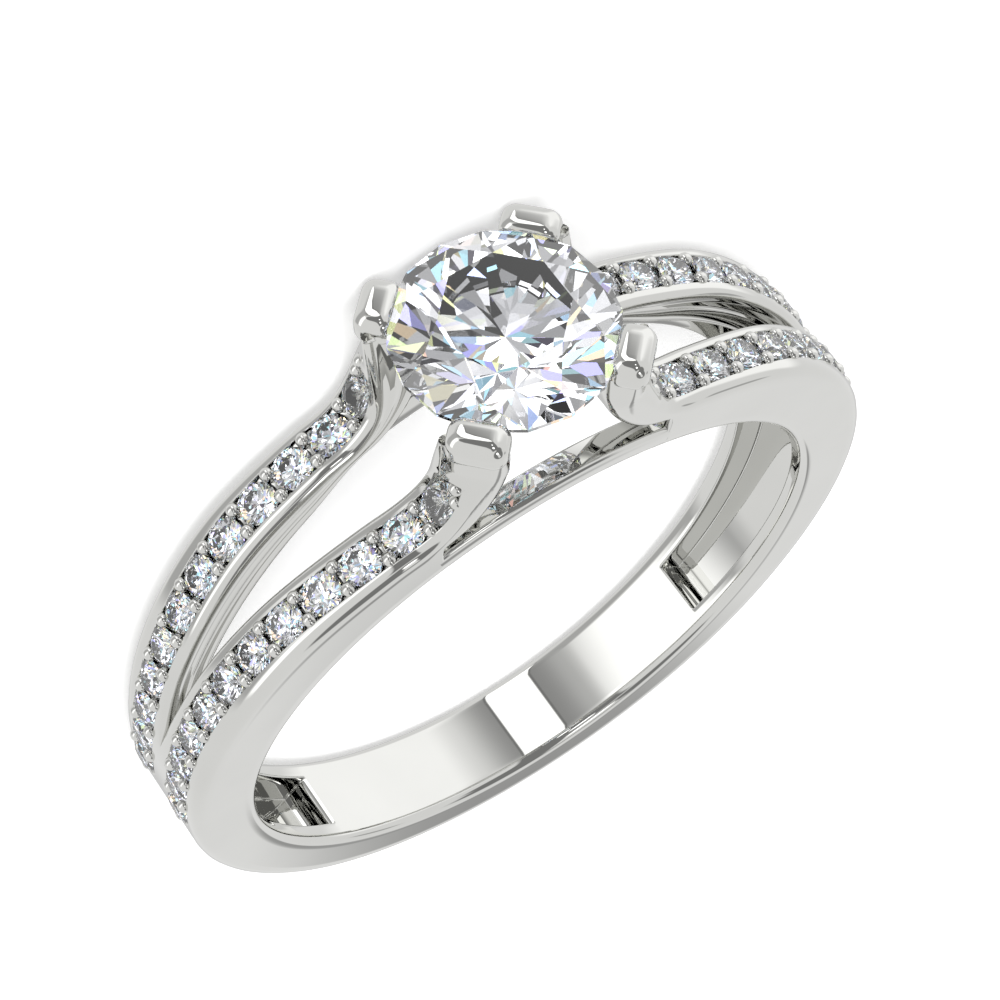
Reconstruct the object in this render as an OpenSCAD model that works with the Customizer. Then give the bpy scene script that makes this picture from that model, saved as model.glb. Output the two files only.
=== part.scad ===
// Split shank ring: a band that forks into four stone-set branches, whose ends
// rise as four prongs round a brilliant. The ring lies on its side, on the two
// rear prongs and the foot of the band, with its origin on the finger bore's axis.

/* [Band] */
// Inside diameter, the finger size
bore_d = 17; // [15:0.1:20]
// Wall of the band at its foot
foot_t = 1.4; // [1.3:0.02:1.8]
// Wall at the waist, below the shoulder
waist_t = 1.6; // [1.5:0.02:1.9]
// Wall at the shoulder
shoulder_t = 2.12; // [1.9:0.02:2.5]
// Wall at the neck, where a branch turns up into its prong
neck_t = 1.87; // [1.75:0.02:2.1]
// Width of the band at its foot
foot_w = 2.64; // [2.5:0.02:2.9]
// Width level with the bore's axis
side_w = 3.3; // [3.1:0.02:3.5]
// Width level with the bore's top
head_w = 4.56; // [4.4:0.02:4.8]

/* [Split] */
// Height of the fork's point above the bore's axis
fork_z = 2.4; // [1.5:0.1:3.4]
// Height at which the fork reaches the branches' full spacing
fork_open_z = 4.6; // [4:0.1:6]
// From the middle of a branch to its edge at the fork
branch_half_w = 0.72; // [0.66:0.01:0.76]

/* [Inner recess] */
// Radial depth of the recess inside the shoulders
recess_depth = 0.95; // [0.7:0.05:1.05]
// Width of the rim beside the recess at its lower end
rim_w = 0.58; // [0.5:0.02:0.66]
// Width of each bridge bar under the stone
bar_w = 0.67; // [0.55:0.02:0.8]
// Height of each bridge bar
bar_t = 0.8; // [0.7:0.05:0.9]
// How far below the bore's axis the recess starts, as an angle
recess_a = 45; // [30:1:55]

/* [Prongs] */
// From the ring's middle to a prong's inner side
prong_in = 1.3; // [1.2:0.02:1.4]
// Thickness of a prong's stem across the ring
prong_t = 1.55; // [1.45:0.02:1.65]
// Radius of the sweep from branch to prong
sweep_r = 1.5; // [1.2:0.05:1.7]
// Radius of the undercut that runs from the prong to the bar
undercut_r = 2.95; // [2.8:0.05:3.3]
// Height of the undercut's centre above the sweep's
undercut_rise = 0.95; // [0.8:0.05:1.1]
// From a prong's inner side to the foot of its undercut
undercut_foot = 1.85; // [1.7:0.05:1.9]
// Length of a prong head along the stone's edge
claw_l = 1.46; // [1.3:0.02:1.6]
// Width of a prong head, towards the stone
claw_w = 0.98; // [0.9:0.02:1.1]
// Height of a prong head
claw_h = 0.9; // [0.8:0.05:1.1]
// Rounding of a prong head's corners
claw_round = 0.32; // [0.2:0.02:0.36]
// How far a prong head stands over the stone's edge
claw_grip = 0.26; // [0.15:0.01:0.35]
// Height of a prong head's top above the stone under it
claw_over = 0.12; // [0.08:0.01:0.2]
// Radius of the taper that trims the prongs' outer corners under their heads
taper_r = 3.3; // [3.25:0.01:3.4]
// How much wider the taper is at its lower end
taper_flare = 0.5; // [0.4:0.05:0.6]

/* [Centre stone] */
// Diameter of the centre stone
stone_d = 5.42; // [5:0.02:5.8]
// Height of its girdle above the bore's axis
girdle_z = 12.79; // [12.6:0.05:13.2]
// Thickness of its girdle
girdle_t = 0.12; // [0.08:0.02:0.2]
// Table width as a share of the stone's diameter
table_share = 0.57; // [0.53:0.01:0.62]
// Crown angle
crown_a = 34.5; // [32:0.5:36]
// Pavilion angle
pavilion_a = 40.75; // [40:0.25:42]
// Clearance between a stone and its seat
seat_gap = 0.02; // [0.01:0.005:0.04]

/* [Pave rows] */
// Number of stones in each row
pave_n = 12; // [10:1:12]
// Diameter of a pave stone
pave_d = 1.06; // [0.9:0.02:1.08]
// Distance from stone to stone
pave_pitch = 1.185; // [1.175:0.005:1.2]
// Spacing of the two rows low on the shoulders
row_gap_low = 1.67; // [1.6:0.02:1.8]
// Spacing of the two rows at the shoulders
row_gap_mid = 2.16; // [2.1:0.02:2.3]
// Spacing of the two rows at the prongs
row_gap_top = 3.35; // [3.25:0.02:3.5]
// Width of the bright-cut channel
channel_w = 0.98; // [0.92:0.02:1.06]
// Depth of the channel below its rims
channel_depth = 0.14; // [0.1:0.01:0.2]
// How far the stones' girdles lie below the rims
pave_sink = 0.08; // [0.05:0.01:0.1]
// Radius of the grains that hold the stones
grain_r = 0.13; // [0.11:0.005:0.135]
// Spacing of the two grains of a pair
grain_gap = 0.65; // [0.62:0.01:0.7]

/* [Hidden] */
METAL = [0.84, 0.84, 0.83];
CLEAR = [0.86, 0.91, 0.96];
eps = 0.01;
far = 40;
bore_r = bore_d / 2;
bar_r = bore_r + bar_t;
recess_r = bore_r + recess_depth;

// The waist, the shoulder and the neck lie at these angles above the bore's axis.
waist_a = -38;
shoulder_a = 46;
neck_a = 66;
wall_step = 4;

// Smooth step from a to b as t runs from 0 to 1.
function blend(a, b, t) = a + (b - a) * t * t * (3 - 2 * t);
function wall(t) = t < waist_a ? blend(foot_t, waist_t, (t + 90) / (waist_a + 90))
    : t < shoulder_a ? blend(waist_t, shoulder_t, (t - waist_a) / (shoulder_a - waist_a))
    : blend(shoulder_t, neck_t, (t - shoulder_a) / (neck_a - shoulder_a));
function wall_point(t) = (bore_r + wall(t)) * [cos(t), sin(t)];

// The sweep's arc starts level with the neck and ends upright on the prong.
neck = wall_point(neck_a);
prong_out = prong_in + prong_t;
sweep_dip = 0.02;
sweep_c = [prong_out + sweep_r, neck[1] + sweep_r - sweep_dip];
function sweep_point(a) = sweep_c - sweep_r * [sin(a), cos(a)];

// A parabola through three points, given as heights and values.
function through(z, zs, vs) =
    vs[0] * (z - zs[1]) * (z - zs[2]) / ((zs[0] - zs[1]) * (zs[0] - zs[2]))
    + vs[1] * (z - zs[0]) * (z - zs[2]) / ((zs[1] - zs[0]) * (zs[1] - zs[2]))
    + vs[2] * (z - zs[0]) * (z - zs[1]) / ((zs[2] - zs[0]) * (zs[2] - zs[1]));

// Half widths at height z: the ring's side, a row's middle, the fork and the recess.
row_low_z = 0.153 * bore_r;
row_mid_z = 0.69 * bore_r;
row_top_z = 1.173 * bore_r;
function side_y(z) = through(z, [-bore_r, 0, bore_r], [foot_w, side_w, head_w] / 2);
function row_y(z) = through(z, [row_low_z, row_mid_z, row_top_z],
    [row_gap_low, row_gap_mid, row_gap_top] / 2);
function fork_y(z) = row_y(z) - branch_half_w;
recess_low_z = -bore_r * sin(recess_a);
recess_low_y = side_y(recess_low_z) - rim_w;
recess_top_y = side_y(bore_r) - bar_w;
function recess_y(z) = recess_low_y
    + (recess_top_y - recess_low_y) * (z - recess_low_z) / (bore_r - recess_low_z);

// The centre stone's heights
stone_r = stone_d / 2;
table_r = stone_r * table_share;
crown_h = (stone_r - table_r) * tan(crown_a);
pavilion_h = stone_r * tan(pavilion_a);
culet_z = girdle_z - pavilion_h;
crown_z = girdle_z + girdle_t;
table_z = crown_z + crown_h;

// A prong head lies on the diagonal, its top just above the stone's crown edge.
claw_r = stone_r - claw_grip + claw_w / 2;
claw_top_z = crown_z + claw_grip * tan(crown_a) + claw_over;
claw_z = claw_top_z - claw_h;
stem_top_z = claw_top_z - claw_round;

// The pave path runs from below the bore's axis up to the prong.
path_from = -12;
path_turn = 11;
sweep_end_a = 77;
path = concat([for (t = [path_from : wall_step : neck_a]) wall_point(t)],
    [for (a = [path_turn : path_turn : sweep_end_a]) sweep_point(a)]);
// Length along the path, counted down from its upper end
steps = [for (i = [0 : len(path) - 2]) norm(path[i + 1] - path[i])];
function rest_of(i) = i >= len(steps) ? 0 : steps[i] + rest_of(i + 1);
lengths = [for (i = [0 : len(path) - 1]) rest_of(i)];
xs = [for (i = [0 : len(path) - 1]) [lengths[i], path[i][0]]];
zs = [for (i = [0 : len(path) - 1]) [lengths[i], path[i][1]]];
function on_path(s) = [lookup(s, xs), lookup(s, zs)];
// Angle of the outward normal, above the bore's axis
normal_base = 0.15;
function normal_a(s) = let (d = on_path(s - normal_base) - on_path(s + normal_base))
    atan2(d[1], d[0]) - 90;
function out_dir(s) = [cos(normal_a(s)), sin(normal_a(s))];
// The first stone's place below the prong
pave_start = 0.29;
function stone_s(i) = pave_start + i * pave_pitch;
row_margin = 0.08;
row_end_s = stone_s(pave_n - 1) + pave_d / 2 + row_margin;
row_start_s = 0.02;
// Cuts run past the faces they open by this much.
over_cut = 0.5;

// Pave stone heights and the seat's bore behind it
pave_r = pave_d / 2;
pave_girdle_t = 0.03;
pave_table_r = pave_r * table_share;
pave_crown_h = (pave_r - pave_table_r) * tan(crown_a);
pave_pavilion_h = pave_r * tan(pavilion_a);
azure_r = 0.24;
seat_top = 0.4;

// The ring rests on its two rear prong heads and its foot.
claw_reach = (claw_r + (claw_w + claw_l) / 2 - claw_round * (2 - sqrt(2))) / sqrt(2);
foot_z = -bore_r - foot_t;
rest_tilt = atan((claw_reach - side_y(foot_z)) / (claw_z + claw_h / 2 - foot_z));

// Stands the finger bore upright and tips the ring onto its resting points.
module lay() {
    rotate([-90 + rest_tilt, 0, 180]) children();
}

// Turns a drawing in x and z into a plate across the ring.
module across(depth) {
    rotate([90, 0, 0]) translate([0, 0, -depth / 2]) linear_extrude(depth) children();
}

// Turns a drawing in y and z into a bar along the ring.
module along(length) {
    rotate([90, 0, 90]) translate([0, 0, -length / 2]) linear_extrude(length) children();
}

// An outline's right side, followed by its mirrored left side
function both(right) = concat(right,
    [for (i = [len(right) - 1 : -1 : 0]) [-right[i][0], right[i][1]]]);
// The same outline on the side that the sign names
function on_side(sign, pts) = [for (p = pts) [sign * p[0], p[1]]];

// Hoop seen from the front, to the neck on both sides
module hoop_outline() {
    from_foot = 90 - wall_step / 2;
    polygon(both([for (t = [-from_foot : wall_step : neck_a]) wall_point(t)]));
}

// One prong seen from the front, with its outer sweep
module prong_outline(sx) {
    base_z = bore_r;
    difference() {
        polygon(on_side(sx, [[prong_in, base_z], [sweep_c[0], base_z], sweep_c,
            [prong_out, sweep_c[1]], [prong_out, stem_top_z], [prong_in, stem_top_z]]));
        translate([sx * sweep_c[0], sweep_c[1]]) circle(sweep_r, $fn = 96);
    }
}

// Opening between the prongs, above the bars
module window_outline() {
    corner_x = prong_in + undercut_foot;
    undercut_c = [prong_in + undercut_r, sweep_c[1] + undercut_rise];
    difference() {
        translate([-corner_x, 0]) square([2 * corner_x, undercut_c[1]]);
        for (sx = [-1, 1])
            translate([sx * undercut_c[0], undercut_c[1]]) circle(undercut_r, $fn = 180);
        circle(bar_r, $fn = 180);
    }
}

module front_outline() {
    difference() {
        union() {
            hoop_outline();
            for (sx = [-1, 1]) prong_outline(sx);
        }
        window_outline();
        circle(bore_r, $fn = 180);
    }
}

// Flaring sides seen along the ring, no wider than the prong heads, less the fork
module side_outline() {
    z_step = 1;
    low = foot_z - z_step;
    high = stem_top_z + z_step;
    edge = [for (z = [low : z_step : high + z_step]) [min(side_y(z), claw_reach), z]];
    fork = [for (z = [fork_open_z : z_step : high + 2 * z_step]) [fork_y(z), z]];
    difference() {
        polygon(both(edge));
        polygon(concat([[0, fork_z]], both(fork)));
    }
}

// Recess inside the shoulders and under the stone, between the two rims
module recess() {
    low = -recess_r;
    high = recess_r + over_cut;
    intersection() {
        across(far) difference() {
            circle(recess_r, $fn = 180);
            circle(bore_r - over_cut, $fn = 90);
            polygon([[0, 0], far * [cos(recess_a), -sin(recess_a)], [far, -2 * far],
                [-far, -2 * far], far * [-cos(recess_a), -sin(recess_a)]]);
        }
        along(far) polygon([[-recess_y(low), low], [recess_y(low), low],
            [recess_y(high), high], [-recess_y(high), high]]);
    }
}

// Outline of a band that follows the pave path on one side of the ring
module path_band(sx, below, above) {
    s_step = 0.35;
    marks = [for (s = [row_start_s : s_step : row_end_s]) s];
    polygon(on_side(sx, concat([for (s = marks) on_path(s) - below * out_dir(s)],
        [for (i = [len(marks) - 1 : -1 : 0]) on_path(marks[i]) + above * out_dir(marks[i])])));
}

// Bright-cut channels of all four rows
module channels() {
    z_step = 0.8;
    low = on_path(row_end_s)[1] - z_step;
    high = on_path(row_start_s)[1] + 2 * z_step;
    heights = [for (z = [low : z_step : high]) z];
    intersection() {
        across(far) for (sx = [-1, 1]) path_band(sx, channel_depth, over_cut);
        along(far) for (sy = [-1, 1]) polygon(on_side(sy, concat(
            [for (z = heights) [row_y(z) - channel_w / 2, z]],
            [for (i = [len(heights) - 1 : -1 : 0]) [row_y(heights[i]) + channel_w / 2, heights[i]]])));
    }
}

// Puts a piece on a row's path, s along it, aside from its middle and above the surface.
// The signs sx and sy choose the row.
module on_row(sx, sy, s, aside, above) {
    p = on_path(s) + above * out_dir(s);
    translate([sx * p[0], sy * (row_y(p[1]) + aside), p[1]])
        rotate([0, sx * (90 - normal_a(s)), 0]) children();
}

// Seat of one pave stone: a straight wall, a cone and a hole to the recess
module pave_seat() {
    wall_r = pave_r + seat_gap;
    cone_h = (wall_r - azure_r) * tan(pavilion_a);
    translate([0, 0, -seat_gap]) rotate_extrude($fn = 48) polygon([[0, seat_top], [wall_r, seat_top],
        [wall_r, 0], [azure_r, -cone_h], [azure_r, -shoulder_t], [0, -shoulder_t]]);
}

// Room for the centre stone in the prongs
module stone_room() {
    g = seat_gap;
    tip = culet_z - g / cos(pavilion_a);
    wide = stone_r + g;
    up = crown_z + g;
    rotate_extrude($fn = 96) polygon([[0, tip], [wide, tip + wide * tan(pavilion_a)],
        [wide, up], [wide - claw_w, up + claw_w * tan(crown_a)], [0, up + claw_w * tan(crown_a)]]);
}

// Taper that trims the prongs' outer corners, from just above the sweep's foot
module prong_taper() {
    foot = sweep_c[1] - sweep_r / 2;
    top = stem_top_z + over_cut;
    wide = taper_r + 2 * taper_flare;
    rotate_extrude($fn = 96) polygon([[taper_r + taper_flare, foot], [taper_r, claw_z],
        [taper_r, top], [wide, top], [wide, foot]]);
}

// Rectangle with round corners, centred
module round_rect(w, h, r) {
    square([w - 2 * r, h], center = true);
    square([w, h - 2 * r], center = true);
    for (sx = [-1, 1], sy = [-1, 1])
        translate([sx * (w / 2 - r), sy * (h / 2 - r)]) circle(r, $fn = 32);
}

// One prong head, rounded on every edge, its long side along the stone's edge
module claw() {
    r = claw_round;
    intersection() {
        translate([0, 0, -claw_h]) linear_extrude(2 * claw_h) round_rect(claw_w, claw_l, r);
        rotate([90, 0, 0]) translate([0, 0, -claw_l]) linear_extrude(2 * claw_l)
            round_rect(claw_w, claw_h, r);
        rotate([90, 0, 90]) translate([0, 0, -claw_w]) linear_extrude(2 * claw_w)
            round_rect(claw_l, claw_h, r);
    }
}

// Grains between the stones, in pairs across the channel
module grains() {
    for (sx = [-1, 1], sy = [-1, 1], i = [0 : pave_n - 2], side = [-1, 1])
        on_row(sx, sy, stone_s(i) + pave_pitch / 2, side * grain_gap / 2, grain_r - channel_depth - eps)
            sphere(grain_r, $fn = 24);
}

module shank() color(METAL) lay() {
    difference() {
        union() {
            difference() {
                intersection() {
                    across(far) front_outline();
                    along(far) side_outline();
                }
                prong_taper();
            }
            for (a = [45 : 90 : 315])
                rotate([0, 0, a]) translate([claw_r, 0, claw_z + claw_h / 2]) claw();
        }
        recess();
        channels();
        stone_room();
        for (sx = [-1, 1], sy = [-1, 1], i = [0 : pave_n - 1])
            on_row(sx, sy, stone_s(i), 0, -pave_sink) pave_seat();
    }
    grains();
}

// A ring of n points at radius r and height z, turned by half a step if asked
function ring_of(n, r, z, half = 0) =
    [for (i = [0 : n - 1]) [r * cos((i + half / 2) * 360 / n), r * sin((i + half / 2) * 360 / n), z]];

// Round brilliant: a table, stars, kites and girdle facets above, a keel below.
// Its girdle has sixteen sides, and its facets meet at shared corners.
module brilliant() {
    star_r = table_r + 0.44 * (stone_r - table_r);
    star_z = table_z - 0.38 * crown_h;
    lower_r = stone_r * 0.22;
    lower_z = culet_z + lower_r * tan(pavilion_a);
    pts = concat(ring_of(8, table_r, table_z), ring_of(8, star_r, star_z, 1),
        ring_of(16, stone_r, crown_z), ring_of(16, stone_r, girdle_z),
        ring_of(8, lower_r, lower_z, 1), [[0, 0, culet_z]]);
    faces = concat([[for (i = [7 : -1 : 0]) i]],
        [for (i = [0 : 7]) [i, (i + 1) % 8, 8 + i]],
        [for (i = [0 : 7]) [8 + i, (i + 1) % 8, 8 + (i + 1) % 8]],
        [for (i = [0 : 7]) [8 + i, 8 + (i + 1) % 8, 16 + (2 * i + 2) % 16]],
        [for (i = [0 : 7]) [8 + i, 16 + (2 * i + 2) % 16, 16 + 2 * i + 1]],
        [for (i = [0 : 7]) [8 + i, 16 + 2 * i + 1, 16 + 2 * i]],
        [for (i = [0 : 15]) [16 + i, 16 + (i + 1) % 16, 32 + (i + 1) % 16]],
        [for (i = [0 : 15]) [16 + i, 32 + (i + 1) % 16, 32 + i]],
        [for (i = [0 : 7]) [32 + 2 * i, 32 + 2 * i + 1, 48 + i]],
        [for (i = [0 : 7]) [32 + 2 * i + 1, 32 + (2 * i + 2) % 16, 48 + i]],
        [for (i = [0 : 7]) [48 + i, 32 + (2 * i + 2) % 16, 48 + (i + 1) % 8]],
        [for (i = [0 : 7]) [48 + i, 48 + (i + 1) % 8, 56]]);
    polyhedron(pts, faces);
}

module centre_stone() color(CLEAR) lay() brilliant();

// Small brilliant with a table, eight crown facets and eight pavilion facets
module small_brilliant() {
    pts = concat(ring_of(8, pave_table_r, pave_girdle_t + pave_crown_h),
        ring_of(8, pave_r, pave_girdle_t), ring_of(8, pave_r, 0), [[0, 0, -pave_pavilion_h]]);
    polyhedron(pts, concat([[for (i = [7 : -1 : 0]) i]],
        [for (r = [0, 8], i = [0 : 7]) [r + i, r + (i + 1) % 8, r + 8 + (i + 1) % 8, r + 8 + i]],
        [for (i = [0 : 7]) [16 + i, 16 + (i + 1) % 8, 24]]));
}

module pave_row(sx, sy) {
    color(CLEAR) lay() for (i = [0 : pave_n - 1])
        on_row(sx, sy, stone_s(i), 0, -pave_sink) small_brilliant();
}

module pave_front_left() pave_row(-1, -1);

module pave_back_left() pave_row(-1, 1);

module pave_front_right() pave_row(1, -1);

module pave_back_right() pave_row(1, 1);

shank();
centre_stone();
pave_front_left();
pave_back_left();
pave_front_right();
pave_back_right();
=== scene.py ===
"""Looks of a split shank ring: polished white gold, pave rows and a round brilliant.

The ring is worked out in its own upright frame in millimetres (x across the finger, y along
the finger, z up to the stone, origin on the bore's axis) and laid on its side at the end, the
same way as the solid model. One quarter of the metal is built and mirrored round the ring.
"""

import logging
import math
from dataclasses import dataclass, field
from enum import Enum
from typing import Sequence

import bpy
import numpy as np
from mathutils import Matrix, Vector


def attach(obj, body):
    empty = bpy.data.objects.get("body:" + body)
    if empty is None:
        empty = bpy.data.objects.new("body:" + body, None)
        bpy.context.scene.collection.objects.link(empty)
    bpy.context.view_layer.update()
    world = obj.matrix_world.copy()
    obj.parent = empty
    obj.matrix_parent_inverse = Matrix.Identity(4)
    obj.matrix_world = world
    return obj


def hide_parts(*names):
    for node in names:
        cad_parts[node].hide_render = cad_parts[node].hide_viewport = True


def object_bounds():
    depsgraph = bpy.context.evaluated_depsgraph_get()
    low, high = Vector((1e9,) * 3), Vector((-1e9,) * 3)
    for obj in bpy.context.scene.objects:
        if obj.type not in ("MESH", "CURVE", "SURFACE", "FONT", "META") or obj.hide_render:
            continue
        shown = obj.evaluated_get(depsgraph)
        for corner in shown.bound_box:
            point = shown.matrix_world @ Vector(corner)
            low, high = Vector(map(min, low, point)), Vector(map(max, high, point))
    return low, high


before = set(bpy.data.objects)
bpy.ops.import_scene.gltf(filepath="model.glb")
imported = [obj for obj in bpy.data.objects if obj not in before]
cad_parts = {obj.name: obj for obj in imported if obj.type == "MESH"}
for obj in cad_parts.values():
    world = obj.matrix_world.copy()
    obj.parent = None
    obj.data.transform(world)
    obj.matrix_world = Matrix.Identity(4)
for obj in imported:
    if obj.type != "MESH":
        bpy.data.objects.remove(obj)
CAD_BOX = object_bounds()

LOG = logging.getLogger("split_shank_ring")
Array = np.ndarray
Socket = bpy.types.NodeSocket
MM = 0.001
QUARTER = (22.5, 45.0, 67.5, 90.0)


# Sizes and helpers


def polar(degrees: Array | float) -> Array:
    """Unit vectors in x and z at angles that count up from the +x side."""
    a = np.radians(degrees)
    return np.stack([np.cos(a), np.sin(a)], -1)


def angle_of(points: Array) -> Array:
    """Angles in degrees of (n, 2) points in x and z, counted up from the +x side."""
    return np.degrees(np.arctan2(points[:, 1], points[:, 0]))


def smooth(u: Array) -> Array:
    """Smooth step: three u squared less two u cubed, held between nought and one."""
    u = np.clip(u, 0, 1)
    return u * u * (3 - 2 * u)


def soft_min(one: Array, two: Array, blend: float) -> Array:
    """Smaller of two values, with a rounded change-over as wide as the blend."""
    h = np.clip(0.5 + 0.5 * (one - two) / blend, 0, 1)
    return one * (1 - h) + two * h - blend * h * (1 - h)


def lengths(points: Array) -> Array:
    """Running length at each point of a line of points."""
    return np.r_[0, np.cumsum(np.linalg.norm(np.diff(points, axis=0), axis=1))]


def points_at(at: Array, run: Array, points: Array) -> Array:
    """Points of a line at given lengths, between its own points."""
    return np.stack([np.interp(at, run, column) for column in points.T], -1)


@dataclass(frozen=True)
class RingSizes:
    """Main sizes in millimetres and degrees, the same as the solid model's."""

    # Hoop: its bore, its wall at four places up the side, and half its width at foot, side and head
    bore_r: float = 8.5
    foot_t: float = 1.4
    waist_t: float = 1.6
    shoulder_t: float = 2.12
    neck_t: float = 1.87
    waist_a: float = -38.0
    shoulder_a: float = 46.0
    neck_a: float = 66.0
    half_foot: float = 1.32
    half_side: float = 1.65
    half_head: float = 2.28
    # Fork, recess inside the shoulders, and bridge bars
    fork_z: float = 2.4
    fork_open_z: float = 4.6
    branch_half_w: float = 0.72
    recess_depth: float = 0.95
    recess_a: float = -45.0
    rim_w: float = 0.58
    bar_w: float = 0.67
    bar_t: float = 0.8
    # Prongs: sweep out of the branch, undercut beside the stone, heads, and taper of the corners
    prong_in: float = 1.3
    prong_t: float = 1.55
    sweep_r: float = 1.5
    sweep_dip: float = 0.02
    undercut_r: float = 2.95
    undercut_rise: float = 0.95
    undercut_foot: float = 1.85
    claw_l: float = 1.46
    claw_w: float = 0.98
    claw_h: float = 0.9
    claw_round: float = 0.32
    claw_grip: float = 0.26
    claw_over: float = 0.12
    taper_r: float = 3.3
    taper_flare: float = 0.5
    # Centre stone
    stone_r: float = 2.71
    girdle_z: float = 12.79
    girdle_t: float = 0.12
    crown_a: float = 34.5
    pavilion_a: float = 40.75
    table_share: float = 0.57
    # Pave rows: stones, channel, grains, and the row's distance from the middle at three heights,
    # which are shares of the bore's radius
    pave_n: int = 12
    pave_r: float = 0.53
    pave_pitch: float = 1.185
    pave_start: float = 0.29
    pave_sink: float = 0.08
    channel_w: float = 0.98
    channel_depth: float = 0.14
    grain_gap: float = 0.65
    row_high: tuple[float, float, float] = (0.153, 0.69, 1.173)
    row_off: tuple[float, float, float] = (0.835, 1.08, 1.675)

    @property
    def recess_r(self) -> float:
        """Radius of the recess's floor."""
        return self.bore_r + self.recess_depth

    @property
    def bar_r(self) -> float:
        """Radius of the bridge bars' upper side."""
        return self.bore_r + self.bar_t

    @property
    def sweep_c(self) -> Array:
        """Centre of the sweep from branch to prong.

        Returns:
            Its place in x and z.
        """
        neck = (self.bore_r + self.neck_t) * polar(self.neck_a)
        x = self.prong_in + self.prong_t + self.sweep_r
        return np.array([x, neck[1] + self.sweep_r - self.sweep_dip])

    def sweep_point(self, turn: Array | float) -> Array:
        """Points of the sweep's arc, turned in degrees from its lowest point."""
        return self.sweep_c - self.sweep_r * polar(90 - turn)

    @property
    def crown_z(self) -> float:
        """Height of the centre stone's crown edge."""
        return self.girdle_z + self.girdle_t

    @property
    def claw_r(self) -> float:
        """Distance of a prong head's middle from the stone's axis."""
        return self.stone_r - self.claw_grip + self.claw_w / 2

    @property
    def claw_top_z(self) -> float:
        """Height of a prong head's top."""
        return self.crown_z + self.claw_grip * math.tan(math.radians(self.crown_a)) + self.claw_over

    @property
    def rest_tilt(self) -> float:
        """Angle in radians between the bore's axis and upright when the ring lies on its side.

        The side rests on the foot's edge and on the heads' rounded corners, and the angle is the
        difference of their reaches over the distance between them.

        Returns:
            The angle in radians.
        """
        corner = self.claw_round * (2 - math.sqrt(2))
        reach = (self.claw_r + (self.claw_w + self.claw_l) / 2 - corner) / math.sqrt(2)
        foot_z = -self.bore_r - self.foot_t
        mid_z = self.claw_top_z - self.claw_h / 2
        return math.atan((reach - float(self.side_y(np.array(foot_z)))) / (mid_z - foot_z))

    def wall(self, t: Array) -> Array:
        """Wall of the hoop: smooth steps between foot, waist, shoulder and neck.

        Args:
            t: Angles in degrees.

        Returns:
            Thickness in millimetres at each angle.
        """
        low = smooth((t + 90) / (self.waist_a + 90))
        mid = smooth((t - self.waist_a) / (self.shoulder_a - self.waist_a))
        top = smooth((t - self.shoulder_a) / (self.neck_a - self.shoulder_a))
        return (self.foot_t + (self.waist_t - self.foot_t) * low + (self.shoulder_t - self.waist_t) * mid
                + (self.neck_t - self.shoulder_t) * top)

    @staticmethod
    def through(z: Array, zs: Sequence[float], vs: Sequence[float]) -> Array:
        """Parabola through three points, by Lagrange's formula.

        Args:
            z: Heights to work it out at.
            zs: Heights of the three points.
            vs: Values at the three points.

        Returns:
            Value at each height.
        """
        return (vs[0] * (z - zs[1]) * (z - zs[2]) / ((zs[0] - zs[1]) * (zs[0] - zs[2]))
                + vs[1] * (z - zs[0]) * (z - zs[2]) / ((zs[1] - zs[0]) * (zs[1] - zs[2]))
                + vs[2] * (z - zs[0]) * (z - zs[1]) / ((zs[2] - zs[0]) * (zs[2] - zs[1])))

    def side_y(self, z: Array) -> Array:
        """Half width of the ring at height z."""
        halves = (self.half_foot, self.half_side, self.half_head)
        return self.through(z, (-self.bore_r, 0, self.bore_r), halves)

    def row_y(self, z: Array) -> Array:
        """Distance of a pave row's middle from the ring's middle at height z."""
        return self.through(z, [share * self.bore_r for share in self.row_high], self.row_off)

    def gap_y(self, z: Array) -> Array:
        """Half of the gap between two branches: nought below the fork, then a straight opening.

        Args:
            z: Heights in millimetres.

        Returns:
            Half of the gap at each height.
        """
        full = self.row_y(np.maximum(z, self.fork_open_z)) - self.branch_half_w
        share = np.clip((z - self.fork_z) / (self.fork_open_z - self.fork_z), 0, 1)
        return np.where(z < self.fork_open_z, full * share, full)

    def recess_y(self, z: Array) -> Array:
        """Half width of the recess, straight from its lower end to the bore's top.

        Args:
            z: Heights in millimetres.

        Returns:
            Half of the recess's width at each height.
        """
        low_z = self.bore_r * math.sin(math.radians(self.recess_a))
        low = float(self.side_y(np.array(low_z))) - self.rim_w
        top = self.half_head - self.bar_w
        return low + (top - low) * (z - low_z) / (self.bore_r - low_z)


SIZES = RingSizes()


def lay_turn() -> Array:
    """Turn that lays the upright ring on its side, tips it by the rest angle and faces it forward.

    Returns:
        (3, 3) matrix.
    """
    a = -math.pi / 2 + SIZES.rest_tilt
    c, s = math.cos(a), math.sin(a)
    return np.diag([-1.0, -1.0, 1.0]) @ np.array([[1, 0, 0], [0, c, -s], [0, s, c]])


def laid(points: Array) -> Array:
    """Lays (n, 3) points of the upright ring on their side and turns millimetres to metres."""
    return points @ lay_turn().T * MM


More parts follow.
